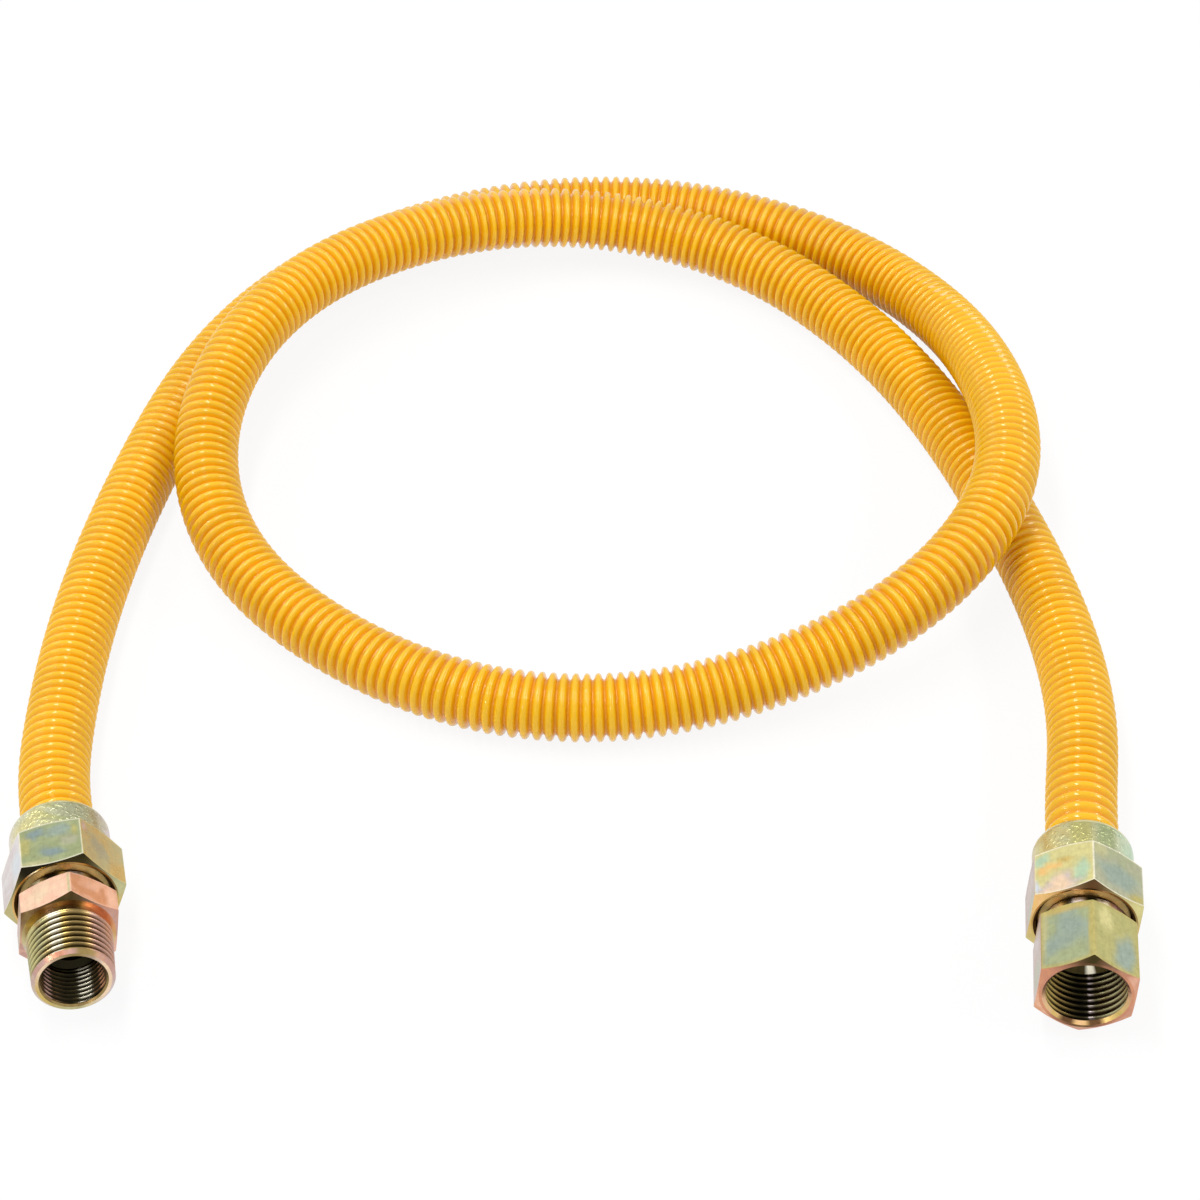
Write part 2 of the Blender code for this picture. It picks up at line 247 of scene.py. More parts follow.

# Looks of each zone of a fitting: main colour, patches in it, and a third one, which is a painted highlight
# along a flat's edges and painted shade in a thread's root. Six names are for the six flats or corners, from
# the top one, going left. Besides the film's colours, they carry painted light, shade and dark reflections,
# set by how each flat or side faces the light.
# A mark is a cloud of another colour on a flat: the flat, its place across it from its first corner and
# along it from the mouth's side, its half width and its half length, all four as shares of the flat.
# A painted reflection, bright or dark, runs as a streak along a turned zone: the zone, its angle from the
# top, going left, and its half width, both in degrees. Pits are how deep the stamped marks are that roughen
# a nut's collar.
# Inside a nut, the mouth and the bore are given dark colours as painted shade.
NUT_INSIDE = {
    "mouth": ("brown", "bronze"),
    "bore": ("bronze", "amber", "brown"),
    "rear": ("straw", "pearl"),
}
MALE_NUT_LOOKS = {
    **NUT_INSIDE,
    "flats": (
        "fern silver gold straw gold khaki",
        "green mauve straw green amber gold",
        "cream cream straw gold straw straw",
    ),
    "pits": 0.8,
    "painted_reflections": [
        ("face", 0, 14, "bronze"),
        ("face", 32, 9, "cream"),
        ("face", -28, 14, "amber"),
        ("face", -75, 16, "bronze"),
        ("mouth", 44, 14, "straw"),
        ("mouth", 8, 12, "gold"),
        ("mouth", -42, 14, "straw"),
    ],
    "marks": [
        (0, 0.76, 0.80, 0.17, 0.12, "blue"),
        (0, 0.36, 0.78, 0.24, 0.12, "sea"),
        (0, 0.10, 0.72, 0.06, 0.12, "moss"),
        (0, 0.50, 0.28, 0.20, 0.11, "blue"),
        (0, 0.20, 0.48, 0.14, 0.14, "sage"),
        (0, 0.93, 0.55, 0.09, 0.30, "moss"),
        (0, 0.80, 0.06, 0.25, 0.08, "khaki"),
        (5, 0.14, 0.14, 0.30, 0.30, "gold"),
        (5, 0.92, 0.84, 0.06, 0.10, "mauve"),
        (5, 0.60, 0.50, 0.20, 0.22, "sage"),
        (1, 0.22, 0.38, 0.20, 0.30, "ice"),
    ],
    # Black on the chamfer's top and upper left corners is a painted dark reflection.
    "chamfer": ("black black gold amber gold khaki", "olive black khaki gold gold gold"),
    "face": ("bronze gold gold gold gold gold", "amber amber apricot gold apricot amber"),
    "shoulder": ("straw", "pearl"),
    "collar": ("fern straw silver gold straw mauve", "sage pearl mauve straw gold khaki"),
}
FEMALE_NUT_LOOKS = {
    **NUT_INSIDE,
    "flats": (
        "straw dusk sage gold straw sage",
        "straw mauve straw green green green",
        "cream mauve straw gold gold cream",
    ),
    "pits": 0.45,
    "painted_reflections": [
        ("face", 0, 12, "olive"),
        ("face", 50, 14, "khaki"),
        ("face", -35, 14, "bronze"),
        ("collar", -22, 13, "fern"),
        ("collar", 8, 14, "moss"),
        ("mouth", 48, 14, "straw"),
        ("mouth", 12, 10, "gold"),
        ("mouth", -34, 14, "pink"),
    ],
    "marks": [
        (0, 0.88, 0.80, 0.14, 0.14, "mint"),
        (0, 0.20, 0.33, 0.15, 0.22, "mint"),
        (0, 0.86, 0.53, 0.11, 0.08, "apricot"),
        (0, 0.67, 0.60, 0.15, 0.08, "apricot"),
        (0, 0.48, 0.67, 0.11, 0.07, "gold"),
        (0, 0.62, 0.08, 0.34, 0.13, "mauve"),
        (0, 0.57, 0.25, 0.20, 0.16, "mauve"),
        (0, 0.61, 0.07, 0.27, 0.09, "peach"),
        (0, 0.58, 0.19, 0.16, 0.10, "peach"),
        (0, 0.56, 0.30, 0.08, 0.09, "peach"),
        (0, 0.97, 0.18, 0.05, 0.16, "ice"),
        (5, 0.50, 0.42, 0.32, 0.30, "sea"),
        (5, 0.12, 0.10, 0.16, 0.12, "brass"),
        (5, 0.86, 0.86, 0.16, 0.16, "khaki"),
        (1, 0.40, 0.15, 0.40, 0.14, "sage"),
    ],
    # Brown on the chamfer's top corner is a painted dark reflection.
    "chamfer": ("brown apricot gold gold amber straw", "olive salmon straw straw gold gold"),
    "face": ("brown amber gold gold gold bronze", "copper gold straw gold straw gold"),
    "shoulder": ("straw", "gold"),
    "collar": ("sage straw mauve gold straw mint", "khaki gold pearl gold gold pearl"),
}
# The neck's groove, the stub inside the nut and the gas way are given dark colours as painted shade.
STUB_LOOKS = {
    "neck_ring": ("gold", "amber"),
    "neck_groove": ("bronze", "brown"),
    "stub": ("bronze", "amber", "olive"),
    "gas_way": ("brown", "olive"),
}
MALE_ADAPTER_LOOKS = {
    **STUB_LOOKS,
    "flats": (
        "salmon pink copper copper pink rose",
        "peach khaki gold gold mauve salmon",
        "salmon salmon salmon salmon salmon salmon",
    ),
    "painted_reflections": [
        ("neck_ring", 36, 9, "cream"),
        ("neck_ring", 12, 12, "black"),
        ("neck_ring", -18, 11, "silver"),
        ("neck_ring", -44, 10, "brown"),
        ("face", 10, 40, "brown"),
        ("face", -40, 14, "copper"),
        ("runout", 22, 7, "cream"),
        ("runout", -8, 14, "bronze"),
        ("thread", 16, 9, "cream"),
        ("thread", -14, 14, "bronze"),
        ("thread", -48, 14, "pink"),
        ("thread", 58, 12, "straw"),
        ("tip", 20, 16, "copper"),
        ("tip", -25, 16, "bronze"),
        ("tip", 180, 26, "khaki"),
        ("bore", 197, 12, "cream"),
        ("bore", 124, 9, "pink"),
        ("bore", 237, 9, "rose"),
    ],
    "marks": [
        (0, 0.60, 0.45, 0.16, 0.25, "peach"),
        (0, 0.02, 0.50, 0.04, 0.60, "khaki"),
        (5, 0.12, 0.50, 0.14, 0.50, "salmon"),
    ],
    # Olive and brown on the chamfer's top and upper left corners are painted dark reflections.
    "chamfer": ("olive brown pink copper pink pink", "brown bronze salmon straw salmon copper"),
    "face": ("bronze gold mauve copper gold rose", "amber bronze straw straw straw pink"),
    "shoulder": ("rose", "copper"),
    "runout": ("straw gold straw gold straw rose", "bronze straw pink pink pink copper"),
    # The thread's crest colours carry painted highlights, and its third row is the painted shade of its
    # roots.
    "thread": (
        "gold khaki khaki bronze pink pink",
        "bronze amber mauve amber mauve rose",
        "olive olive bronze olive brown brown",
    ),
    # Silver on the tip's lowest corner is a painted highlight.
    "tip": ("pink pink mauve silver mauve pink", "gold mauve gold peach mauve rose"),
    "point": ("bronze peach gold khaki peach peach", "brown pink gold bronze pearl mauve"),
    # The socket's rim, bore and bottom are dark as painted shade; the bore's bright streaks are painted
    # highlights.
    "bore_rim": ("bronze", "brown"),
    "bore": (
        "brown bronze brown black brown bronze",
        "olive brown olive olive olive brown",
        "black brown black black black brown",
    ),
    "bottom": ("black", "black"),
}
FEMALE_ADAPTER_LOOKS = {
    **STUB_LOOKS,
    "flats": (
        "green dusk copper copper rose moss",
        "sea mauve mauve gold gold moss",
        "brass pink apricot apricot apricot brass",
    ),
    "painted_reflections": [
        ("neck_ring", 27, 7, "olive"),
        ("neck_ring", 14, 8, "silver"),
        ("neck_ring", -2, 8, "olive"),
        ("neck_ring", -18, 8, "cream"),
        ("neck_ring", -40, 12, "pink"),
        ("neck_ring", 48, 10, "peach"),
        ("face", 0, 16, "brown"),
        ("bore_rim", 198, 12, "brown"),
        ("bore_rim", 158, 12, "brown"),
        ("bore", 122, 17, "gold"),
        ("bore", 192, 3, "mauve"),
        ("bore", 234, 15, "khaki"),
        ("bottom", 194, 7, "cream"),
    ],
    "marks": [
        (0, 0.04, 0.50, 0.06, 0.60, "brass"),
        (0, 0.95, 0.70, 0.10, 0.40, "khaki"),
        (0, 0.50, 0.97, 0.60, 0.06, "gold"),
        (0, 0.42, 0.64, 0.26, 0.17, "sea"),
        (0, 0.66, 0.36, 0.13, 0.11, "mauve"),
        (0, 0.66, 0.36, 0.20, 0.18, "sea"),
        (0, 0.45, 0.18, 0.35, 0.14, "green"),
        (5, 0.30, 0.30, 0.26, 0.26, "sea"),
        (5, 0.72, 0.76, 0.18, 0.16, "straw"),
        (1, 0.50, 0.25, 0.40, 0.20, "sage"),
    ],
    # Olive on the chamfer's top corner is a painted dark reflection.
    "chamfer": ("olive copper rose copper copper copper", "brown rose salmon rose rose salmon"),
    "face": ("brown copper copper brown copper copper", "copper copper rose bronze rose rose"),
    "shoulder": ("apricot", "rose"),
    "bore_rim": ("bronze copper gold apricot gold copper", "salmon"),
    # The socket's bore and bottom are dark as painted shade, with painted highlights as streaks.
    "bore": (
        "brown bronze gold black khaki bronze",
        "olive amber amber olive bronze gold",
        "black bronze olive black brown bronze",
    ),
    "bottom": ("olive", "black"),
}

# How far the colour of a mark or of a painted reflection reaches, and how wide its soft edge is, in its own
# half widths
MARK_REACH = 1.35
REFLECTION_REACH = 1.3
SOFT_EDGE = 0.8

# How uneven a mark's outline is: the share, and how many times it swings going round
MARK_SWINGS = [(0.16, 2), (0.10, 5)]

# Plating. The sizes of its clouds, grain, stains, smears and pits are the noise's scales, with the surface
# measured in millimetres. Tones make a colour darker or lighter. Edges are the noise's values where a patch
# or a pit starts and where it is full.
MALE_NUT_CLOUDS = 0.11
MALE_ADAPTER_CLOUDS = 0.16
FEMALE_NUT_CLOUDS = 0.10
FEMALE_ADAPTER_CLOUDS = 0.13
CLOUD_DETAIL = 2.0
CLOUD_DISTORTION = 0.8
CLOUD_EDGES = (0.40, 0.66)
CLOUD_STRENGTH = 0.7
GRAIN_SIZE = 1.6
GRAIN_TONES = (0.96, 1.03)
GRAIN_STRETCH = 0.12
GRAIN_BUMP_SIZE = 0.4
GRAIN_BUMP = 0.10
STAIN_SIZE = 0.5
STAIN_TONES = (0.95, 1.04)
SMEAR_SIZE = 1.0
PLATING_ROUGHNESS = (0.27, 0.37)
PIT_SIZE = 0.9
PIT_EDGES = (0.5, 0.62)
PLATING_BUMP = 0.00015

# Coating, with the same kinds of values. Its groove's edges are shares of a groove's depth.
COATING_CREST = (0.82, 0.46, 0.005)
# The grooves' darker, more orange colour is partly painted shade and partly the coating's own deeper orange.
COATING_SHADED_GROOVE = (0.80, 0.34, 0.004)
GROOVE_EDGES = (0.1, 1.0)
COATING_CLOUDS = 0.08
COATING_TONES = (0.96, 1.03)
COATING_SMEARS = 0.9
COATING_ROUGHNESS = (0.24, 0.34)
COATING_SPECULAR = 0.1
COATING_GLOSS = 0.7
COATING_GLOSS_ROUGHNESS = 0.10
COATING_RIPPLES = 2.2

# Steel tube
STEEL_DARK = (0.50, 0.49, 0.47)
STEEL_BRIGHT = (0.64, 0.63, 0.61)
STEEL_CLOUDS = 0.5
STEEL_GRAIN = 3.0
STEEL_ROUGHNESS = (0.22, 0.36)

# Height of the fine bumps on the coating and the steel
FINE_BUMP = 0.00002

# Most of a noise's values lie between these two
NOISE_SPAN = (0.3, 0.7)
NOISE_DETAIL = 3.0
COARSE_DETAIL = 1.0

MILLIMETRES = 1000.0

# Floor and light
FLOOR_SIZE = 6.0
FLOOR_DROP = 0.0002
FLOOR_WHITE = 0.93
FLOOR_GLOW = 0.9
SKY_LIGHT = 0.42
SEEN_SKY_LIGHT = 1.0
WHITE = (1.0, 1.0, 1.0, 1.0)

# Lamps: name, place, width, length along Y, power, and lean in degrees, or None to face the hose
LAMPS = [
    ("overhead_strip", (-0.23, -0.12, 1.07), 0.15, 1.1, 7.4, 0.0),
    ("left_panel", (-0.85, 0.05, 0.80), 0.40, 0.50, 2.6, -47.0),
    ("right_strip", (0.615, -0.10, 0.53), 0.13, 0.6, 2.2, 49.0),
    ("left_lamp", (-0.51, -0.635, 0.45), 0.06, 0.06, 0.5, None),
]


# Camera, floor and light

def make_camera():
    camera = bpy.data.objects.new("camera", bpy.data.cameras.new("camera"))
    bpy.context.scene.collection.objects.link(camera)
    camera.location = CAMERA_PLACE
    camera.rotation_euler = (math.radians(CAMERA_PITCH), 0.0, 0.0)
    camera.data.lens = CAMERA_LENS
    camera.data.sensor_width = CAMERA_SENSOR
    camera.data.clip_start = CAMERA_NEAR
    bpy.context.scene.camera = camera


def larger(nodes, links, first, second):
    """The larger one of two numbers."""
    node = nodes.new("ShaderNodeMath")
    node.operation = "MAXIMUM"
    links.new(first, node.inputs[0])
    links.new(second, node.inputs[1])
    return node.outputs[0]


def seen_directly(nodes, links):
    """1 for rays that show a surface as it is, to the camera, in a reflection or through glass."""
    path = nodes.new("ShaderNodeLightPath")
    first = larger(nodes, links, path.outputs["Is Camera Ray"], path.outputs["Is Glossy Ray"])
    return larger(nodes, links, first, path.outputs["Is Transmission Ray"])


def mix_shaders(nodes, links, share, first, second):
    """The first node's shader where the share is 0, and the second one's where it is 1."""
    mix = nodes.new("ShaderNodeMixShader")
    links.new(share, mix.inputs[0])
    links.new(first.outputs[0], mix.inputs[1])
    links.new(second.outputs[0], mix.inputs[2])
    return mix.outputs[0]


def make_world():
    """A soft white sky, which looks pure white where it is seen directly."""
    world = bpy.data.worlds.new("studio")
    world.use_nodes = True
    nodes = world.node_tree.nodes
    links = world.node_tree.links
    nodes.clear()
    skies = []
    for strength in (SKY_LIGHT, SEEN_SKY_LIGHT):
        sky = nodes.new("ShaderNodeBackground")
        sky.inputs["Color"].default_value = WHITE
        sky.inputs["Strength"].default_value = strength
        skies.append(sky)
    out = nodes.new("ShaderNodeOutputWorld")
    links.new(mix_shaders(nodes, links, seen_directly(nodes, links), *skies), out.inputs["Surface"])
    bpy.context.scene.world = world


def make_floor():
    bpy.ops.mesh.primitive_plane_add(size=FLOOR_SIZE, location=(0, 0, -FLOOR_DROP))
    floor = bpy.context.active_object
    floor.name = "floor"
    material = bpy.data.materials.new("floor_white")
    material.use_nodes = True
    nodes = material.node_tree.nodes
    links = material.node_tree.links
    nodes.clear()
    matt = nodes.new("ShaderNodeBsdfDiffuse")
    matt.inputs["Color"].default_value = (FLOOR_WHITE, FLOOR_WHITE, FLOOR_WHITE, 1.0)
    glow = nodes.new("ShaderNodeEmission")
    share = nodes.new("ShaderNodeMath")
    share.operation = "MULTIPLY"
    share.inputs[1].default_value = FLOOR_GLOW
    links.new(seen_directly(nodes, links), share.inputs[0])
    out = nodes.new("ShaderNodeOutputMaterial")
    links.new(mix_shaders(nodes, links, share.outputs[0], matt, glow), out.inputs["Surface"])
    floor.data.materials.append(material)


def make_lamp(name, place, width, length, power, lean):
    """A rectangle of light whose long side runs along Y."""
    lamp = bpy.data.lights.new(name, "AREA")
    lamp.shape = "RECTANGLE"
    lamp.size = width
    lamp.size_y = length
    lamp.energy = power
    thing = bpy.data.objects.new(name, lamp)
    thing.location = place
    if lean is None:
        thing.rotation_euler = (-Vector(place)).to_track_quat("-Z", "Y").to_euler()
    else:
        thing.rotation_euler = (0.0, math.radians(lean), 0.0)
    bpy.context.scene.collection.objects.link(thing)


# Meshes made of rings

def ring_mesh(name, points, closed=False):
    """Mesh from rings of points, an array of rings x points x 3; each ring joins the next one.

    closed joins the last ring to the first one.
    """
    rings, sides, _ = points.shape
    upper = np.arange(rings if closed else rings - 1)
    lower = (upper + 1) % rings
    here = np.arange(sides)
    following = (here + 1) % sides
    corners = [
        upper[:, None] * sides + here[None, :],
        lower[:, None] * sides + here[None, :],
        lower[:, None] * sides + following[None, :],
        upper[:, None] * sides + following[None, :],
    ]
    faces = np.stack(corners, axis=-1).reshape(-1, 4)
    mesh = bpy.data.meshes.new(name)
    mesh.from_pydata(points.reshape(-1, 3), [], faces.tolist())
    mesh.shade_smooth()
    return mesh


def mark_sharp(mesh, sides, sharp_rings):
    """Marks the edges along some of the rings as edges of the form."""
    ends = np.empty(len(mesh.edges) * 2, dtype=np.int32)
    mesh.edges.foreach_get("vertices", ends)
    ring = ends.reshape(-1, 2) // sides
    flags = mesh.attributes.new("sharp_edge", "BOOLEAN", "EDGE")
    flags.data.foreach_set("value", (ring[:, 0] == ring[:, 1]) & sharp_rings[ring[:, 0]])


def add_number(mesh, name, values):
    attribute = mesh.attributes.new(name, "FLOAT", "POINT")
    attribute.data.foreach_set("value", np.asarray(values, dtype=np.float32).ravel())


def add_colour(mesh, name, colours):
    """One colour for each corner of each face, from an array of rings x sides x 4 corners x 3."""
    flat = np.asarray(colours, dtype=np.float32).reshape(-1, 3)
    opaque = np.concatenate([flat, np.ones((len(flat), 1), dtype=np.float32)], axis=1)
    attribute = mesh.attributes.new(name, "FLOAT_COLOR", "CORNER")
    attribute.data.foreach_set("color", opaque.ravel())


def show(name, mesh, material, node):
    """Adds a finished piece that stands for a node of the model."""
    piece = bpy.data.objects.new(name, mesh)
    bpy.context.scene.collection.objects.link(piece)
    mesh.materials.append(material)
    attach(piece, "root")
    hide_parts(node)
    return piece


# Route of the hose

def axis_direction(turn, rise):
    """Unit vector out of a fitting's mouth."""
    turn = math.radians(turn)
    rise = math.radians(rise)
    level = math.cos(rise)
    return np.array((math.sin(turn) * level, -math.cos(turn) * level, math.sin(rise)))


def spline_slopes(points, knots, first, last):
    """Slope at each point of the cubic spline that has the given directions at its ends."""
    count = len(points)
    matrix = np.eye(count)
    right = np.zeros((count, 3))
    right[0] = first
    right[-1] = last
    for i in range(1, count - 1):
        before = knots[i] - knots[i - 1]
        after = knots[i + 1] - knots[i]
        matrix[i, i - 1] = after
        matrix[i, i] = 2 * (before + after)
        matrix[i, i + 1] = before
        rise_before = (points[i] - points[i - 1]) * after / before
        rise_after = (points[i + 1] - points[i]) * before / after
        right[i] = 3 * (rise_before + rise_after)
    return np.linalg.solve(matrix, right)


def smooth_curve(points, first, last):
    """Many points on one smooth curve through all the given ones."""
    spans = np.linalg.norm(np.diff(points, axis=0), axis=1)
    knots = np.concatenate(([0.0], np.cumsum(spans)))
    slopes = spline_slopes(points, knots, first, last)
    curve = []
    for i, span in enumerate(spans):
        for step in range(SAMPLES_PER_SPAN):
            t = step / SAMPLES_PER_SPAN
            start_weight = 2 * t**3 - 3 * t**2 + 1
            end_weight = 3 * t**2 - 2 * t**3
            leave_weight = (t**3 - 2 * t**2 + t) * span
            arrive_weight = (t**3 - t**2) * span
            curve.append(
                start_weight * points[i] + end_weight * points[i + 1]
                + leave_weight * slopes[i] + arrive_weight * slopes[i + 1]
            )
    curve.append(points[-1])
    return np.array(curve)


class Line:
    """The hose's centre line, which can be read at any distance from its start."""

    def __init__(self, points):
        self.points = points
        steps = np.linalg.norm(np.diff(points, axis=0), axis=1)
        self.along = np.concatenate(([0.0], np.cumsum(steps)))
        self.length = self.along[-1]
        ways = np.gradient(points, self.along, axis=0)
        self.ways = ways / np.linalg.norm(ways, axis=1)[:, None]

    def read(self, values, distances):
        return np.array([np.interp(distances, self.along, values[:, axis]) for axis in range(3)]).T

    def rings(self, distances, radii, sides):
        """Circles around the line, turned as little as possible from each one to the next."""
        places = self.read(self.points, distances)
        ways = self.read(self.ways, distances)
        ways /= np.linalg.norm(ways, axis=1)[:, None]
        side = np.cross(ways[0], (0.0, 0.0, 1.0))
        angles = np.linspace(0.0, 2 * math.pi, sides, endpoint=False)
        circles = np.empty((len(distances), sides, 3))
        for i, way in enumerate(ways):
            side = side - way * np.dot(side, way)
            side /= np.linalg.norm(side)
            up = np.cross(side, way)
            around = np.outer(np.cos(angles), side) - np.outer(np.sin(angles), up)
            circles[i] = places[i] + radii[i] * around
        return circles


def hose_line():
    """Centre line from the rear of one nut to the rear of the other."""
    points = np.array([(x, y, HOSE_OUTER / 2 + lift) for x, y, lift in ROUTE])
    out_of_male = -axis_direction(MALE_TURN, MALE_RISE)
    into_female = axis_direction(FEMALE_TURN, FEMALE_RISE)
    return smooth_curve(points, out_of_male, into_female)


def lengthened(curve, by):
    """The same line, run on straight into both nuts."""
    before = curve[0] + axis_direction(MALE_TURN, MALE_RISE) * by
    after = curve[-1] + axis_direction(FEMALE_TURN, FEMALE_RISE) * by
    return Line(np.vstack([before, curve, after]))


# Hose

def ring_places(length):
    """Start, pitch and depth of each ring of the hose, from the male end."""
    random = np.random.default_rng(RING_SEED)
    start = 0.0
    places = []
    while start < length - RING_PITCH:
        left = length - COATING_IN_NUT - start
        widening = min(1.0, max(0.0, 1.0 - left / WIDE_RINGS_LENGTH))
        pitch = RING_PITCH * (1 + (WIDE_RING_PITCH - 1) * widening)
        pitch *= 1 + RING_UNEVENNESS * random.standard_normal()
        depth = RING_DEPTH * (1 + (WIDE_RING_DEPTH - 1) * widening)
        places.append((start, min(pitch, length - start), depth))
        start += pitch
    return places


def ring_outline(places, outline):
    """Distance along the hose, drop below the crest and how deep in the groove, for each ring of points."""
    rows = [
        (start + share * pitch, drop * depth, drop)
        for start, pitch, depth in places
        for share, drop in outline
    ]
    return np.array(rows).T


def make_coating(curve):
    line = lengthened(curve, COATING_IN_NUT)
    distances, drops, grooves = ring_outline(ring_places(line.length), COATING_OUTLINE)
    mesh = ring_mesh("hose_coating", line.rings(distances, HOSE_OUTER / 2 - drops, HOSE_SIDES))
    add_number(mesh, "groove", np.repeat(grooves, HOSE_SIDES))
    return show("hose_coating", mesh, coating_material(), "coating")


def make_steel_tube(curve):
    """The tube under the coating, ring under ring, with a plain end and a flare in each nut."""
    line = lengthened(curve, FLARE_END)
    coated = line.length - 2 * (FLARE_END - COATING_IN_NUT)
    distances, drops, _ = ring_outline(ring_places(coated), STEEL_OUTLINE)
    distances += FLARE_END - COATING_IN_NUT
    crest = HOSE_OUTER / 2 - STEEL_BELOW_COATING
    straight = FLARE_START + COATING_IN_NUT
    inside = (distances > straight) & (distances < line.length - straight)
    flare = FLARE_END - FLARE_START
    ends = np.array([0.0, flare, straight / 2])
    distances = np.concatenate([ends, distances[inside], line.length - ends[::-1]])
    radii = np.concatenate([
        [FLARE_RADIUS, crest, crest], crest - drops[inside], [crest, crest, FLARE_RADIUS]
    ])
    mesh = ring_mesh("corrugated_steel_tube", line.rings(distances, radii, STEEL_SIDES))
    show("corrugated_steel_tube", mesh, steel_material(), "steel_tube")


# Turned fittings, made along +Z from the rear of the nut, with a hexagon corner at +Y

def fitting_angles():
    """Angles of a ring's points, in degrees from the top corner, closest together at the corners."""
    near = np.linspace(0.0, CORNER_ROUND, CORNER_STEPS + 1)
    turn = np.linspace(0.0, math.pi, FLAT_STEPS + 1)[1:-1]
    flat = HALF_FLAT - (HALF_FLAT - CORNER_ROUND) * np.cos(turn)
    sector = np.concatenate([near, flat, FLAT - near[:0:-1]])
    return np.concatenate([FLAT * k + sector for k in range(6)])


ANGLES = fitting_angles()
SIDES = len(ANGLES)
FROM_CORNER = np.abs((ANGLES + HALF_FLAT) % FLAT - HALF_FLAT)


def hexagon_radius(across_flats):
    """Distance from the axis to a hexagonal bar with slightly rounded corners, at each angle."""
    bend = math.radians(CORNER_ROUND)
    from_corner = np.radians(FROM_CORNER)
    half_flat = math.radians(HALF_FLAT)
    straight = across_flats / 2 / np.cos(half_flat - np.maximum(from_corner, bend))
    slope = across_flats / 2 * math.sin(half_flat - bend) / math.cos(half_flat - bend) ** 2
    rounding = np.maximum(0.0, bend**2 - from_corner**2) / (2 * bend)
    return straight + slope * rounding


def ring(radius, height, zone, sharp=True, rim=0.0, along=0.0):
    """One ring of a fitting; zone names the band of faces from it to the next ring.

    rim is how much a point takes the zone's third colour: the painted highlight along a flat's edges and the
    painted shade in a thread's root. along is its place on a flat, from the mouth down.
    """
    return {
        "radius": radius + np.zeros(SIDES),
        "height": height + np.zeros(SIDES),
        "zone": zone,
        "sharp": sharp,
        "rim": rim + np.zeros(SIDES),
        "along": along + np.zeros(SIDES),
    }


def hexagon_rings(across_flats, top, bottom, chamfer, edge_highlight_band=EDGE_HIGHLIGHT_BAND):
    """Rings down a hexagon's side, between the arcs where its turned ends cut the flats."""
    radius = hexagon_radius(across_flats)
    inner = across_flats / 2 - chamfer / 2
    cut = (radius - inner) * math.tan(math.radians(HEX_CHAMFER_ANGLE))
    half_width = across_flats / 2 * math.tan(math.radians(HALF_FLAT))
    to_corner = half_width - radius * np.sin(np.radians(HALF_FLAT - FROM_CORNER))
    rings = [ring(inner, top, "chamfer")]
    for row in range(FLAT_ROWS + 1):
        share = (1 - math.cos(math.pi * row / FLAT_ROWS)) / 2
        height = (top - cut) * (1 - share) + (bottom + cut) * share
        to_end = np.minimum(top - cut - height, height - bottom - cut)
        # rim: how much of the painted edge highlight a point on the flat takes
        rim = np.clip(1 - np.minimum(to_corner, to_end) / edge_highlight_band, 0.0, 1.0)
        at_end = row in (0, FLAT_ROWS)
        zone = "shoulder" if row == FLAT_ROWS else "flats"
        rings.append(ring(radius, height, zone, at_end, rim, share))
    rings.append(ring(inner, bottom, "shoulder"))
    return rings


def thread_rings(heights, radii, thread, zone, outward, fades=WHOLE_TURNS, per_turn=RINGS_PER_TURN):
    """Rings along a thread between two heights; outward is -1 for a groove cut into a rod, 1 in a bore.

    fades are how many turns the groove takes to reach its full depth at the first and the last ring.
    """
    start, end = heights
    start_radius, end_radius = radii
    pitch, depth = thread
    count = max(2, round(abs(end - start) / pitch * per_turn))
    rings = []
    for step in range(count + 1):
        share = step / count
        height = start + (end - start) * share
        turns = (height / pitch - ANGLES / 360.0) % 1.0
        groove = np.clip((np.abs(turns - 0.5) * 2 - THREAD_CREST) / THREAD_FLANKS, 0.0, 1.0)
        from_start = abs(height - start) / pitch / fades[0]
        from_end = abs(end - height) / pitch / fades[1]
        ready = min(1.0, from_start, from_end)
        radius = start_radius + (end_radius - start_radius) * share + outward * depth * groove * ready
        # root: how much of the painted shade of the thread's root a point takes
        root = np.clip(THREAD_ROOT_SHADE_SHARE * groove * ready, 0.0, 1.0)
        rings.append(ring(radius, height, zone, step in (0, count), root))
    return rings


def arc_rings(radius, height, size, zone):
    """Quarter circle from the outer side round to an end that faces -Z."""
    rings = []
    for step in range(1, ROUND_STEPS + 1):
        angle = math.pi / 2 * step / ROUND_STEPS
        across = radius - size + size * math.cos(angle)
        rings.append(ring(across, height + size - size * math.sin(angle), zone, False))
    return rings


def nut_rings():
    """Down a nut's hexagon and collar, round its rear and back up through its bore."""
    collar = NUT_COLLAR_RADIUS
    seat_end = NUT_SEAT_START + NUT_BORE_RADIUS - NUT_REAR_BORE_RADIUS
    mouth = NUT_LENGTH - NUT_MOUTH_CHAMFER
    outer = hexagon_rings(NUT_ACROSS_FLATS, NUT_LENGTH, NUT_COLLAR_LENGTH, NUT_HEX_CHAMFER)
    side = [
        ring(collar, NUT_COLLAR_LENGTH, "collar"),
        ring(collar, NUT_COLLAR_LENGTH * NUT_COLLAR_MIDDLE, "collar", False),
        ring(collar, NUT_COLLAR_ROUND, "collar", False),
    ]
    rear = arc_rings(collar, 0.0, NUT_COLLAR_ROUND, "rear")
    bore = [
        ring(NUT_REAR_BORE_RADIUS, 0.0, "bore"),
        ring(NUT_REAR_BORE_RADIUS, NUT_SEAT_START, "bore"),
    ]
    thread = thread_rings(
        (seat_end, mouth), (NUT_BORE_RADIUS, NUT_BORE_RADIUS), FLARE_THREAD, "bore", 1,
        fades=NUT_THREAD_FADES, per_turn=HIDDEN_RINGS_PER_TURN,
    )
    thread[-1]["zone"] = "mouth"
    rim = [ring(NUT_BORE_RADIUS + NUT_MOUTH_CHAMFER, NUT_LENGTH, "face")]
    return outer + side + rear + bore + thread + rim


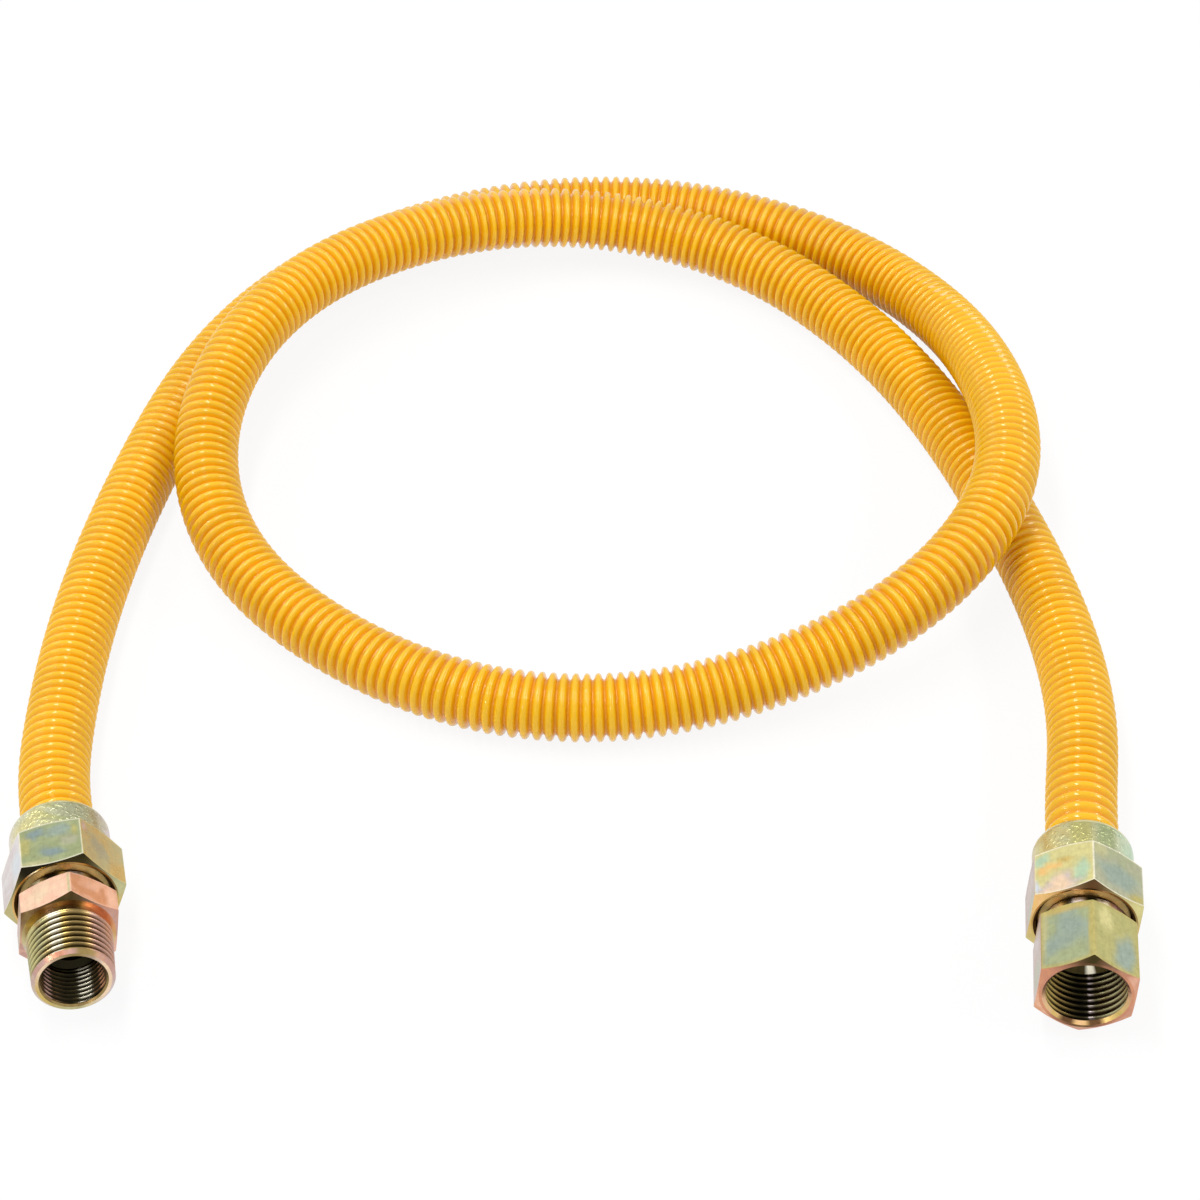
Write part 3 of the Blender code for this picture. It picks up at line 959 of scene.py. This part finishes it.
def stub_rings():
    """From the hexagon's rear face down to the cone that the flare is pulled onto."""
    neck_end = ADAPTER_HEX_START - NECK_RING_LENGTH
    groove_start = NUT_LENGTH - NECK_GROOVE_IN_NUT
    nose_start = FLARE_END + NOSE_LENGTH
    nose_end = FLARE_END - (NOSE_RADIUS - GAS_WAY_RADIUS)
    rings = [
        ring(NECK_RING_RADIUS, ADAPTER_HEX_START, "neck_ring"),
        ring(NECK_RING_RADIUS, neck_end + NECK_RING_CHAMFER, "neck_ring", False),
        ring(NECK_RING_RADIUS - NECK_RING_CHAMFER, neck_end, "neck_ring", False),
        ring(NECK_GROOVE_RADIUS, neck_end, "neck_groove"),
        ring(NECK_GROOVE_RADIUS, groove_start, "stub"),
    ]
    rings += thread_rings(
        (groove_start - NECK_GROOVE_SLOPE, nose_start + FLARE_THREAD_RADIUS - NOSE_RADIUS),
        (FLARE_THREAD_RADIUS, FLARE_THREAD_RADIUS), FLARE_THREAD, "stub", -1,
        per_turn=HIDDEN_RINGS_PER_TURN,
    )
    rings += [
        ring(NOSE_RADIUS, nose_start, "stub"),
        ring(NOSE_RADIUS, FLARE_END, "stub"),
        ring(GAS_WAY_RADIUS + NOSE_LIP, nose_end, "stub"),
        ring(GAS_WAY_RADIUS, nose_end, "gas_way"),
    ]
    return rings


def socket_rings(mouth, depth, radius, chamfer, thread, end_zone):
    """A tapered bore with a thread, from the gas way at its bottom to the end face round its mouth."""
    bottom = mouth - depth
    inside = thread_rings(
        (bottom, mouth - chamfer), (radius - depth * PIPE_TAPER / 2, radius), thread, "bore", 1,
        fades=SOCKET_THREAD_FADES,
    )
    inside[-1]["zone"] = "bore_rim"
    cone = ring(GAS_WAY_RADIUS, bottom - (radius - GAS_WAY_RADIUS) / 2, "bottom")
    return [cone] + inside + [ring(radius + chamfer, mouth, end_zone)]


def male_rings():
    """Down the male adapter's thread, hexagon and stub, and back up through its socket."""
    hex_end = ADAPTER_HEX_START + MALE_HEX_LENGTH
    mouth = hex_end + MALE_THREAD_LENGTH
    runout = hex_end + MALE_THREAD_RUNOUT
    tip = MALE_THREAD_RADIUS - (MALE_THREAD_LENGTH - MALE_THREAD_RUNOUT) * PIPE_TAPER / 2
    groove = MALE_THREAD_RADIUS - MALE_RUNOUT_DEPTH
    point = [ring(tip - MALE_TIP_CHAMFER, mouth, "tip")]
    thread = thread_rings(
        (mouth - MALE_TIP_CHAMFER, runout), (tip, MALE_THREAD_RADIUS), PIPE_THREAD, "thread", -1,
        fades=MALE_THREAD_FADES,
    )
    thread[-1]["zone"] = "runout"
    neck = [
        ring(groove, hex_end + MALE_THREAD_RUNOUT / 2, "runout", False),
        ring(groove, hex_end, "face"),
    ]
    body = hexagon_rings(ADAPTER_ACROSS_FLATS, hex_end, ADAPTER_HEX_START, ADAPTER_HEX_CHAMFER)
    socket = socket_rings(
        mouth, MALE_BORE_DEPTH, MALE_BORE_RADIUS, MALE_BORE_CHAMFER, SMALL_PIPE_THREAD, "point"
    )
    return point + thread + neck + body + stub_rings() + socket


def female_rings():
    """Down the female adapter's hexagon and stub, and back up through its socket."""
    mouth = ADAPTER_HEX_START + FEMALE_HEX_LENGTH
    body = hexagon_rings(
        ADAPTER_ACROSS_FLATS, mouth, ADAPTER_HEX_START, ADAPTER_HEX_CHAMFER, WIDE_EDGE_HIGHLIGHT_BAND
    )
    socket = socket_rings(
        mouth, FEMALE_BORE_DEPTH, FEMALE_BORE_RADIUS, FEMALE_BORE_CHAMFER, PIPE_THREAD, "face"
    )
    return body + stub_rings() + socket


# Colours of the fittings

def six_colours(names):
    """Colours of the six flats or corners, from six names or from one for all of them."""
    names = names.split()
    if len(names) == 1:
        names = names * 6
    return np.array([PLATING_AND_PAINTED_LIGHT[name] for name in names])


def smooth(share):
    """The share from 0 to 1, with a soft start and end."""
    return share * share * (3 - 2 * share)


def blend(first, second, share):
    """The first colour where the share is 0, and the second one where it is 1."""
    return first * (1 - share[..., None]) + second * share[..., None]


def face_corners(here, below):
    """Values at the four corners of each face between two rings."""
    return np.stack([here, below, np.roll(below, -1), np.roll(here, -1)], axis=1)


def mark_strength(across, along, mark, number):
    """How much of a mark's colour shows at each place on its flat; its outline is uneven."""
    _, middle_across, middle_along, half_width, half_length, _ = mark
    x = (across - middle_across) / half_width
    y = (along - middle_along) / half_length
    around = np.arctan2(y, x)
    uneven = 1.0
    for turn, (share, swings) in enumerate(MARK_SWINGS, 1):
        uneven = uneven + share * np.sin(swings * around + turn * number)
    return smooth(np.clip((MARK_REACH - np.hypot(x, y) * uneven) / SOFT_EDGE, 0.0, 1.0))


def reflection_strength(angles, reflection):
    """How much of a painted reflection's colour shows at each angle from the top, going left."""
    _, middle, half_width, _ = reflection
    away = np.abs((angles - middle + 180) % 360 - 180)
    return smooth(np.clip((REFLECTION_REACH - away / half_width) / SOFT_EDGE, 0.0, 1.0))


def face_colours(rings, looks, roll):
    """Main and patch colour at each corner of each face: one colour a flat, blended round elsewhere. These
    colours carry painted highlights, reflections and shade as well as the plating's own colours.
    """
    ends = face_corners(ANGLES, ANGLES)
    ends[-1, 2:] = 360.0
    flat = (ANGLES // FLAT).astype(int)
    corner = (ends // FLAT).astype(int) % 6
    share = smooth(ends / FLAT % 1)
    from_middle = np.radians(ends - FLAT * flat[:, None] - HALF_FLAT)
    across = (1 + np.tan(from_middle) / math.tan(math.radians(HALF_FLAT))) / 2
    layers = np.empty((2, len(rings), SIDES, 4, 3))
    for i, band in enumerate(rings):
        below = rings[(i + 1) % len(rings)]
        zone = [six_colours(names) for names in looks[band["zone"]]]
        if band["zone"] == "flats":
            colours = [np.repeat(six[flat][:, None, :], 4, axis=1) for six in zone]
            along = face_corners(band["along"], below["along"])
            added = [
                (mark[-1], mark_strength(across, along, mark, number) * (flat == mark[0])[:, None])
                for number, mark in enumerate(looks["marks"])
            ]
        else:
            colours = [blend(six[corner], six[(corner + 1) % 6], share) for six in zone]
            added = [
                (reflection[-1], reflection_strength(ends - roll, reflection))
                for reflection in looks["painted_reflections"]
                if reflection[0] == band["zone"]
            ]
        added = [(np.array(PLATING_AND_PAINTED_LIGHT[name]), strength) for name, strength in added]
        # The third colour: the painted highlight along a flat's edges, the painted shade in a thread's root
        if len(zone) == 3:
            added.append((colours[2], face_corners(band["rim"], below["rim"])))
        for layer in (0, 1):
            for colour, strength in added:
                colours[layer] = blend(colours[layer], colour, strength)
            layers[layer, i] = colours[layer]
    return layers


def make_fitting_piece(name, node, rings, looks, material, place, roll):
    """A piece from its rings, rolled about its axis, at the place of its fitting."""
    turn = np.radians(ANGLES + 90.0)
    circle = np.stack([np.cos(turn), np.sin(turn), np.zeros(SIDES)], axis=1)
    points = np.array([
        band["radius"][:, None] * circle + band["height"][:, None] * (0.0, 0.0, 1.0) for band in rings
    ])
    mesh = ring_mesh(name, points, closed=True)
    mark_sharp(mesh, SIDES, np.array([band["sharp"] for band in rings]))
    local = mesh.attributes.new("local", "FLOAT_VECTOR", "POINT")
    local.data.foreach_set("vector", (points * MILLIMETRES).astype(np.float32).ravel())
    stamped = [looks.get("pits", 0.0) if band["zone"] == "collar" else 0.0 for band in rings]
    add_number(mesh, "stamped", np.repeat(stamped, SIDES))
    for layer, colours in zip(("main", "patch"), face_colours(rings, looks, roll)):
        add_colour(mesh, layer, colours)
    mesh.transform(place @ Matrix.Rotation(-math.radians(roll), 4, "Z"))
    piece = show(name, mesh, material, node)
    soft = piece.modifiers.new("even_shading", "WEIGHTED_NORMAL")
    soft.keep_sharp = True
    return piece


def fitting_place(rear, way):
    """Frame at the rear of a nut, with +Z out of the fitting's mouth and +Y as near up as it can be."""
    way = Vector(way)
    up = (Vector((0, 0, 1)) - way * way.z).normalized()
    side = up.cross(way)
    turn = Matrix((side, up, way)).transposed().to_4x4()
    return Matrix.Translation(Vector(rear)) @ turn


def make_male_end(rear):
    place = fitting_place(rear, axis_direction(MALE_TURN, MALE_RISE))
    make_fitting_piece(
        "plated_male_nut", "male_flare_nut", nut_rings(), MALE_NUT_LOOKS,
        plating_material("male_nut_plating", MALE_NUT_CLOUDS), place, MALE_NUT_ROLL,
    )
    make_fitting_piece(
        "plated_male_adapter", "male_adapter", male_rings(), MALE_ADAPTER_LOOKS,
        plating_material("male_adapter_plating", MALE_ADAPTER_CLOUDS), place,
        MALE_ADAPTER_ROLL,
    )


def make_female_end(rear):
    place = fitting_place(rear, axis_direction(FEMALE_TURN, FEMALE_RISE))
    nut = make_fitting_piece(
        "plated_female_nut", "female_flare_nut", nut_rings(), FEMALE_NUT_LOOKS,
        plating_material("female_nut_plating", FEMALE_NUT_CLOUDS), place, FEMALE_NUT_ROLL,
    )
    adapter = make_fitting_piece(
        "plated_female_adapter", "female_adapter", female_rings(), FEMALE_ADAPTER_LOOKS,
        plating_material("female_adapter_plating", FEMALE_ADAPTER_CLOUDS), place,
        FEMALE_ADAPTER_ROLL,
    )
    return [nut, adapter]


# Materials

class Nodes:
    """A material's node tree, with short ways to add what is used here."""

    def __init__(self, name):
        self.material = bpy.data.materials.new(name)
        self.material.use_nodes = True
        self.tree = self.material.node_tree
        self.shader = self.tree.nodes["Principled BSDF"]

    def add(self, kind, **settings):
        node = self.tree.nodes.new(kind)
        for setting, value in settings.items():
            setattr(node, setting, value)
        return node

    def link(self, start, end):
        self.tree.links.new(start, end)

    def set(self, name, value):
        """Gives one of the shader's inputs a value."""
        self.shader.inputs[name].default_value = value

    def feed(self, name, output):
        """Links a node's output to one of the shader's inputs."""
        self.link(output, self.shader.inputs[name])

    def attribute(self, name, output):
        return self.add("ShaderNodeAttribute", attribute_name=name).outputs[output]

    def scaled(self, vector, scale):
        node = self.add("ShaderNodeMapping")
        node.inputs["Scale"].default_value = scale
        self.link(vector, node.inputs["Vector"])
        return node.outputs["Vector"]

    def place(self):
        """The surface point in millimetres."""
        here = self.add("ShaderNodeTexCoord").outputs["Object"]
        return self.scaled(here, (MILLIMETRES, MILLIMETRES, MILLIMETRES))

    def local_place(self, stretch=1.0):
        """The surface point in millimetres along a fitting's own axes, scaled along the third one."""
        return self.scaled(self.attribute("local", "Vector"), (1.0, 1.0, stretch))

    def tint(self, colour, tone):
        """The colour made lighter or darker by a number."""
        shade = self.add("ShaderNodeCombineColor")
        for socket in shade.inputs:
            self.link(tone, socket)
        return self.mix(1.0, colour, shade.outputs[0], "MULTIPLY")

    def noise(self, place, scale, detail=NOISE_DETAIL, distortion=0.0):
        node = self.add("ShaderNodeTexNoise")
        node.inputs["Scale"].default_value = scale
        node.inputs["Detail"].default_value = detail
        node.inputs["Distortion"].default_value = distortion
        self.link(place, node.inputs["Vector"])
        return node.outputs["Fac"]

    def span(self, value, low, high, to_low=0.0, to_high=1.0):
        """Smoothly turns low..high into to_low..to_high."""
        node = self.add("ShaderNodeMapRange", interpolation_type="SMOOTHSTEP")
        node.inputs["From Min"].default_value = low
        node.inputs["From Max"].default_value = high
        node.inputs["To Min"].default_value = to_low
        node.inputs["To Max"].default_value = to_high
        self.link(value, node.inputs["Value"])
        return node.outputs["Result"]

    def cloudy(self, place, scale, low=0.0, high=1.0):
        """A number that changes in clouds between low and high."""
        return self.span(self.noise(place, scale), *NOISE_SPAN, low, high)

    def maths(self, operation, first, second):
        node = self.add("ShaderNodeMath", operation=operation)
        for socket, value in zip(node.inputs, (first, second)):
            if isinstance(value, (int, float)):
                socket.default_value = value
            else:
                self.link(value, socket)
        return node.outputs[0]

    def mix(self, share, first, second, blend="MIX"):
        node = self.add("ShaderNodeMix", data_type="RGBA", blend_type=blend)
        # Inputs 0, 6 and 7 of a colour mix are its factor and its two colours
        for number, value in ((0, share), (6, first), (7, second)):
            socket = node.inputs[number]
            if isinstance(value, (int, float)):
                socket.default_value = value
            elif isinstance(value, tuple):
                socket.default_value = (*value, 1.0)
            else:
                self.link(value, socket)
        return node.outputs[2]

    def bump(self, height, distance):
        node = self.add("ShaderNodeBump")
        node.inputs["Distance"].default_value = distance
        node.inputs["Strength"].default_value = 1.0
        self.link(height, node.inputs["Height"])
        self.feed("Normal", node.outputs["Normal"])


def coating_material():
    nodes = Nodes("hose_yellow")
    place = nodes.place()
    # Down each groove the colour turns from the crest's to the darker groove colour: painted shade, with the
    # coating's deeper orange
    groove = nodes.span(nodes.attribute("groove", "Fac"), *GROOVE_EDGES)
    colour = nodes.mix(groove, COATING_CREST, COATING_SHADED_GROOVE)
    nodes.feed("Base Color", nodes.tint(colour, nodes.cloudy(place, COATING_CLOUDS, *COATING_TONES)))
    nodes.feed("Roughness", nodes.cloudy(place, COATING_SMEARS, *COATING_ROUGHNESS))
    nodes.set("Specular IOR Level", COATING_SPECULAR)
    nodes.set("Coat Weight", COATING_GLOSS)
    nodes.set("Coat Roughness", COATING_GLOSS_ROUGHNESS)
    nodes.bump(nodes.noise(place, COATING_RIPPLES), FINE_BUMP)
    return nodes.material


def steel_material():
    nodes = Nodes("bare_stainless_steel")
    place = nodes.place()
    nodes.feed("Base Color", nodes.mix(nodes.cloudy(place, STEEL_CLOUDS), STEEL_DARK, STEEL_BRIGHT))
    nodes.set("Metallic", 1.0)
    nodes.feed("Roughness", nodes.cloudy(place, STEEL_GRAIN, *STEEL_ROUGHNESS))
    nodes.bump(nodes.noise(place, STEEL_GRAIN), FINE_BUMP)
    return nodes.material


def plating_material(name, cloud_size):
    """Yellow passivated zinc: two colours carried by the mesh, mixed by clouds of film thickness. The mesh's
    colours also carry painted highlights, reflections and shade.
    """
    nodes = Nodes(name)
    place = nodes.local_place()
    along = nodes.local_place(GRAIN_STRETCH)
    clouds = nodes.noise(place, cloud_size, CLOUD_DETAIL, CLOUD_DISTORTION)
    patches = nodes.span(clouds, *CLOUD_EDGES, 0.0, CLOUD_STRENGTH)
    colour = nodes.mix(patches, nodes.attribute("main", "Color"), nodes.attribute("patch", "Color"))
    grain = nodes.cloudy(along, GRAIN_SIZE, *GRAIN_TONES)
    stain = nodes.cloudy(place, STAIN_SIZE, *STAIN_TONES)
    nodes.feed("Base Color", nodes.tint(colour, nodes.maths("MULTIPLY", grain, stain)))
    nodes.set("Metallic", 1.0)
    nodes.feed("Roughness", nodes.cloudy(place, SMEAR_SIZE, *PLATING_ROUGHNESS))
    pits = nodes.span(nodes.noise(place, PIT_SIZE, COARSE_DETAIL), *PIT_EDGES)
    stamped = nodes.maths("MULTIPLY", nodes.attribute("stamped", "Fac"), pits)
    lines = nodes.noise(along, GRAIN_BUMP_SIZE, COARSE_DETAIL)
    nodes.bump(nodes.maths("ADD", nodes.maths("MULTIPLY", lines, GRAIN_BUMP), stamped), PLATING_BUMP)
    return nodes.material


def main():
    make_camera()
    curve = hose_line()
    coating = make_coating(curve)
    make_steel_tube(curve)
    make_male_end(curve[0])
    female_pieces = make_female_end(curve[-1])
    make_world()
    make_floor()
    for lamp in LAMPS:
        make_lamp(*lamp)
    bpy.context.scene.view_settings.view_transform = "Standard"


main()
bpy.context.view_layer.update()
